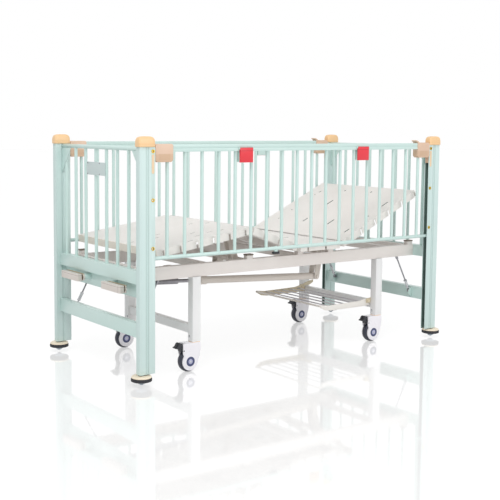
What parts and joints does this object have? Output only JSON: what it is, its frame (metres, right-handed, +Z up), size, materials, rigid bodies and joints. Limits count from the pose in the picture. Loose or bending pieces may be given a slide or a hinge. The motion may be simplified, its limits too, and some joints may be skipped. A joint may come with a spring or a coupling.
{
  "type": "pediatric hospital cot",
  "caption": "Pediatric hospital cot with drop-down barred guards, barred end boards, a cranked sectional platform, folding crank handles and braked swivel casters.",
  "frame": {"origin": "on the floor, under the centre of the overall bounding box", "axes": "+X towards the head end, +Y across towards the far side, +Z up; the cranks are at -X"},
  "size_m": [1.949, 0.921, 1.109],
  "materials": {
    "mint_paint": "satin powder coat",
    "mint_aluminium": "satin powder-coated extrusion",
    "frame_paint": "satin powder coat",
    "platform_paint": "satin powder coat",
    "leg_paint": "satin powder coat",
    "cap_plastic": "semi-gloss moulded",
    "block_plastic": "semi-gloss moulded",
    "strip_plastic": "matte",
    "red_plastic": "semi-gloss moulded",
    "yellow_zinc": "yellow passivated zinc",
    "pin_steel": "bright zinc",
    "bumper_plastic": "matte moulded",
    "bumper_rubber": "matte",
    "card_plastic": "matte",
    "pad_rubber": "matte",
    "drive_steel": "oiled steel",
    "lever_paint": "satin powder coat",
    "crank_paint": "satin",
    "crank_plastic": "satin moulded",
    "shell_plastic": "glossy moulded",
    "tread_rubber": "matte",
    "pedal_plastic": "matte moulded",
    "rack_steel": "dark plated"
  },
  "bodies": {
    "frame": {"foot_posts": "mint_aluminium", "head_posts": "mint_aluminium", "post_caps": "cap_plastic", "zinc_fittings": "yellow_zinc", "guide_strips": "strip_plastic", "bumper_mounts": "bumper_plastic", "foot_board_rails": "mint_paint", "foot_board_bars": "mint_paint", "head_board_rails": "mint_paint", "head_board_bars": "mint_paint", "card_plate": "card_plastic", "bed_frame": "frame_paint", "rest_pads": "pad_rubber", "leg_frames": "leg_paint", "tie_rods": "drive_steel", "seat_panel": "platform_paint", "seat_hinge_pins": "pin_steel"},
    "back_panel": {"back_panel": "platform_paint"},
    "thigh_panel": {"thigh_panel": "platform_paint"},
    "leg_panel": {"leg_panel": "platform_paint"},
    "back_crank": {"back_crank": "crank_paint"},
    "back_crank_grip": {"back_crank_grip": "crank_plastic"},
    "back_drive_screw": {"back_drive_screw": "drive_steel"},
    "back_push_tube": {"back_push_tube": "crank_paint"},
    "back_lift_shaft": {"back_lift_shaft": "lever_paint"},
    "knee_crank": {"knee_crank": "crank_paint"},
    "knee_crank_grip": {"knee_crank_grip": "crank_plastic"},
    "knee_push_tube": {"knee_push_tube": "crank_paint"},
    "knee_lift_shaft": {"knee_lift_shaft": "lever_paint"},
    "rack": {"rack": "rack_steel"},
    "near_guard": {"near_guard_rails": "mint_paint", "near_guard_bars": "mint_paint", "near_guard_blocks": "block_plastic"},
    "near_foot_latch_handle": {"near_foot_latch_handle": "red_plastic"},
    "near_foot_latch_pin": {"near_foot_latch_pin": "pin_steel"},
    "foot_near_bumper_roller": {"foot_near_bumper_roller": "bumper_rubber"},
    "foot_near_caster_shell": {"foot_near_caster_shell": "shell_plastic"},
    "foot_near_caster_wheel": {"foot_near_caster_wheel": "tread_rubber"},
    "foot_near_brake_pedal": {"foot_near_brake_pedal": "pedal_plastic"},
    "near_head_latch_handle": {"near_head_latch_handle": "red_plastic"},
    "near_head_latch_pin": {"near_head_latch_pin": "pin_steel"},
    "head_near_bumper_roller": {"head_near_bumper_roller": "bumper_rubber"},
    "head_near_caster_shell": {"head_near_caster_shell": "shell_plastic"},
    "head_near_caster_wheel": {"head_near_caster_wheel": "tread_rubber"},
    "head_near_brake_pedal": {"head_near_brake_pedal": "pedal_plastic"},
    "far_guard": {"far_guard_rails": "mint_paint", "far_guard_bars": "mint_paint", "far_guard_blocks": "block_plastic"},
    "far_foot_latch_handle": {"far_foot_latch_handle": "red_plastic"},
    "far_foot_latch_pin": {"far_foot_latch_pin": "pin_steel"},
    "foot_far_bumper_roller": {"foot_far_bumper_roller": "bumper_rubber"},
    "foot_far_caster_shell": {"foot_far_caster_shell": "shell_plastic"},
    "foot_far_caster_wheel": {"foot_far_caster_wheel": "tread_rubber"},
    "foot_far_brake_pedal": {"foot_far_brake_pedal": "pedal_plastic"},
    "far_head_latch_handle": {"far_head_latch_handle": "red_plastic"},
    "far_head_latch_pin": {"far_head_latch_pin": "pin_steel"},
    "head_far_bumper_roller": {"head_far_bumper_roller": "bumper_rubber"},
    "head_far_caster_shell": {"head_far_caster_shell": "shell_plastic"},
    "head_far_caster_wheel": {"head_far_caster_wheel": "tread_rubber"},
    "head_far_brake_pedal": {"head_far_brake_pedal": "pedal_plastic"}
  },
  "joints": [
    {"name": "back_raise", "type": "hinge", "parent": "frame", "child": "back_panel", "pos_m": [0.283, 0, 0.558], "axis": [0, -1, 0], "range_deg": [-24.9, 45]},
    {"name": "back_lift", "type": "hinge", "parent": "frame", "child": "back_lift_shaft", "pos_m": [0.335, 0, 0.49], "axis": [0, -1, 0], "range_deg": [-24.9, 45]},
    {"name": "back_push", "type": "slide", "parent": "frame", "child": "back_push_tube", "axis": [0.9985, 0, -0.0549], "range_m": [-0.056, 0.1]},
    {"name": "back_screw_spin", "type": "hinge", "parent": "frame", "child": "back_drive_screw", "pos_m": [-0.85, -0.132, 0.42], "axis": [0.9985, 0, -0.0549], "range_deg": [-663, 1198]},
    {"name": "back_crank_spin", "type": "hinge", "parent": "frame", "child": "back_crank", "pos_m": [-0.93, -0.132, 0.42], "axis": [1, 0, 0], "range_deg": [-663, 1198]},
    {"name": "back_grip_fold", "type": "hinge", "parent": "back_crank", "child": "back_crank_grip", "pos_m": [-0.938, -0.287, 0.42], "axis": [0, 0, 1], "range_deg": [0, 90]},
    {"name": "thigh_raise", "type": "hinge", "parent": "frame", "child": "thigh_panel", "pos_m": [0, 0, 0.558], "axis": [0, 1, 0], "range_deg": [-20, 10]},
    {"name": "leg_bend", "type": "hinge", "parent": "thigh_panel", "child": "leg_panel", "pos_m": [-0.2913, 0, 0.664], "axis": [0, 1, 0], "range_deg": [-14.1, 28.2]},
    {"name": "knee_lift", "type": "hinge", "parent": "frame", "child": "knee_lift_shaft", "pos_m": [-0.13, 0, 0.466], "axis": [0, 1, 0], "range_deg": [-45.2, 22.6]},
    {"name": "knee_push", "type": "slide", "parent": "frame", "child": "knee_push_tube", "axis": [1, 0, 0], "range_m": [-0.0175, 0.035]},
    {"name": "knee_crank_spin", "type": "hinge", "parent": "frame", "child": "knee_crank", "pos_m": [-0.93, 0.132, 0.42], "axis": [1, 0, 0], "range_deg": [-418, 209]},
    {"name": "knee_grip_fold", "type": "hinge", "parent": "knee_crank", "child": "knee_crank_grip", "pos_m": [-0.938, 0.287, 0.42], "axis": [0, 0, -1], "range_deg": [0, 90]},
    {"name": "rack_lift", "type": "hinge", "parent": "frame", "child": "rack", "pos_m": [0.577, 0, 0.218], "axis": [0, 1, 0], "range_deg": [0, 15]},
    {"name": "near_guard_drop", "type": "slide", "parent": "frame", "child": "near_guard", "axis": [0, 0, 1], "range_m": [-0.429, 0]},
    {"name": "near_foot_latch_pull", "type": "hinge", "parent": "near_guard", "child": "near_foot_latch_handle", "pos_m": [-0.372, -0.4325, 1.053], "axis": [-1, 0, 0], "range_deg": [0, 35], "stiffness_Nm_per_rad": 0.4},
    {"name": "near_foot_pin_draw", "type": "slide", "parent": "near_guard", "child": "near_foot_latch_pin", "axis": [0, 1, 0], "range_m": [0, 0.008]},
    {"name": "foot_near_bumper_spin", "type": "hinge", "parent": "frame", "child": "foot_near_bumper_roller", "pos_m": [-0.927, -0.413, 0.03], "axis": [0, 0, 1], "continuous": true},
    {"name": "foot_near_swivel", "type": "hinge", "parent": "frame", "child": "foot_near_caster_shell", "pos_m": [-0.572, -0.302, 0.13], "axis": [0, 0, 1], "continuous": true},
    {"name": "foot_near_wheel_spin", "type": "hinge", "parent": "foot_near_caster_shell", "child": "foot_near_caster_wheel", "pos_m": [-0.608, -0.302, 0.051], "axis": [0, 1, 0], "continuous": true},
    {"name": "foot_near_brake", "type": "hinge", "parent": "foot_near_caster_shell", "child": "foot_near_brake_pedal", "pos_m": [-0.644, -0.302, 0.105], "axis": [0, -1, 0], "range_deg": [0, 14]},
    {"name": "near_head_latch_pull", "type": "hinge", "parent": "near_guard", "child": "near_head_latch_handle", "pos_m": [0.372, -0.4325, 1.053], "axis": [-1, 0, 0], "range_deg": [0, 35], "stiffness_Nm_per_rad": 0.4},
    {"name": "near_head_pin_draw", "type": "slide", "parent": "near_guard", "child": "near_head_latch_pin", "axis": [0, 1, 0], "range_m": [0, 0.008]},
    {"name": "head_near_bumper_spin", "type": "hinge", "parent": "frame", "child": "head_near_bumper_roller", "pos_m": [0.927, -0.413, 0.03], "axis": [0, 0, 1], "continuous": true},
    {"name": "head_near_swivel", "type": "hinge", "parent": "frame", "child": "head_near_caster_shell", "pos_m": [0.614, -0.302, 0.13], "axis": [0, 0, 1], "continuous": true},
    {"name": "head_near_wheel_spin", "type": "hinge", "parent": "head_near_caster_shell", "child": "head_near_caster_wheel", "pos_m": [0.578, -0.302, 0.051], "axis": [0, 1, 0], "continuous": true},
    {"name": "head_near_brake", "type": "hinge", "parent": "head_near_caster_shell", "child": "head_near_brake_pedal", "pos_m": [0.542, -0.302, 0.105], "axis": [0, -1, 0], "range_deg": [0, 14]},
    {"name": "far_guard_drop", "type": "slide", "parent": "frame", "child": "far_guard", "axis": [0, 0, 1], "range_m": [-0.429, 0]},
    {"name": "far_foot_latch_pull", "type": "hinge", "parent": "far_guard", "child": "far_foot_latch_handle", "pos_m": [-0.372, 0.4325, 1.053], "axis": [1, 0, 0], "range_deg": [0, 35], "stiffness_Nm_per_rad": 0.4},
    {"name": "far_foot_pin_draw", "type": "slide", "parent": "far_guard", "child": "far_foot_latch_pin", "axis": [0, -1, 0], "range_m": [0, 0.008]},
    {"name": "foot_far_bumper_spin", "type": "hinge", "parent": "frame", "child": "foot_far_bumper_roller", "pos_m": [-0.927, 0.413, 0.03], "axis": [0, 0, 1], "continuous": true},
    {"name": "foot_far_swivel", "type": "hinge", "parent": "frame", "child": "foot_far_caster_shell", "pos_m": [-0.572, 0.302, 0.13], "axis": [0, 0, 1], "continuous": true},
    {"name": "foot_far_wheel_spin", "type": "hinge", "parent": "foot_far_caster_shell", "child": "foot_far_caster_wheel", "pos_m": [-0.608, 0.302, 0.051], "axis": [0, 1, 0], "continuous": true},
    {"name": "foot_far_brake", "type": "hinge", "parent": "foot_far_caster_shell", "child": "foot_far_brake_pedal", "pos_m": [-0.644, 0.302, 0.105], "axis": [0, -1, 0], "range_deg": [0, 14]},
    {"name": "far_head_latch_pull", "type": "hinge", "parent": "far_guard", "child": "far_head_latch_handle", "pos_m": [0.372, 0.4325, 1.053], "axis": [1, 0, 0], "range_deg": [0, 35], "stiffness_Nm_per_rad": 0.4},
    {"name": "far_head_pin_draw", "type": "slide", "parent": "far_guard", "child": "far_head_latch_pin", "axis": [0, -1, 0], "range_m": [0, 0.008]},
    {"name": "head_far_bumper_spin", "type": "hinge", "parent": "frame", "child": "head_far_bumper_roller", "pos_m": [0.927, 0.413, 0.03], "axis": [0, 0, 1], "continuous": true},
    {"name": "head_far_swivel", "type": "hinge", "parent": "frame", "child": "head_far_caster_shell", "pos_m": [0.614, 0.302, 0.13], "axis": [0, 0, 1], "continuous": true},
    {"name": "head_far_wheel_spin", "type": "hinge", "parent": "head_far_caster_shell", "child": "head_far_caster_wheel", "pos_m": [0.578, 0.302, 0.051], "axis": [0, 1, 0], "continuous": true},
    {"name": "head_far_brake", "type": "hinge", "parent": "head_far_caster_shell", "child": "head_far_brake_pedal", "pos_m": [0.542, 0.302, 0.105], "axis": [0, -1, 0], "range_deg": [0, 14]}
  ],
  "couplings": [
    {"joint": "back_lift", "follows": "back_raise", "ratio": 1},
    {"joint": "back_push", "follows": "back_raise", "m_per_rad": 0.127},
    {"joint": "back_screw_spin", "follows": "back_raise", "ratio": 26.6},
    {"joint": "back_crank_spin", "follows": "back_raise", "ratio": 26.6},
    {"joint": "leg_bend", "follows": "thigh_raise", "ratio": -1.41},
    {"joint": "knee_lift", "follows": "thigh_raise", "ratio": 2.26},
    {"joint": "knee_push", "follows": "thigh_raise", "m_per_rad": -0.1},
    {"joint": "knee_crank_spin", "follows": "thigh_raise", "ratio": 20.9},
    {"joint": "near_foot_pin_draw", "follows": "near_foot_latch_pull", "m_per_rad": 0.013},
    {"joint": "near_head_pin_draw", "follows": "near_head_latch_pull", "m_per_rad": 0.013},
    {"joint": "far_foot_pin_draw", "follows": "far_foot_latch_pull", "m_per_rad": 0.013},
    {"joint": "far_head_pin_draw", "follows": "far_head_latch_pull", "m_per_rad": 0.013}
  ]
}
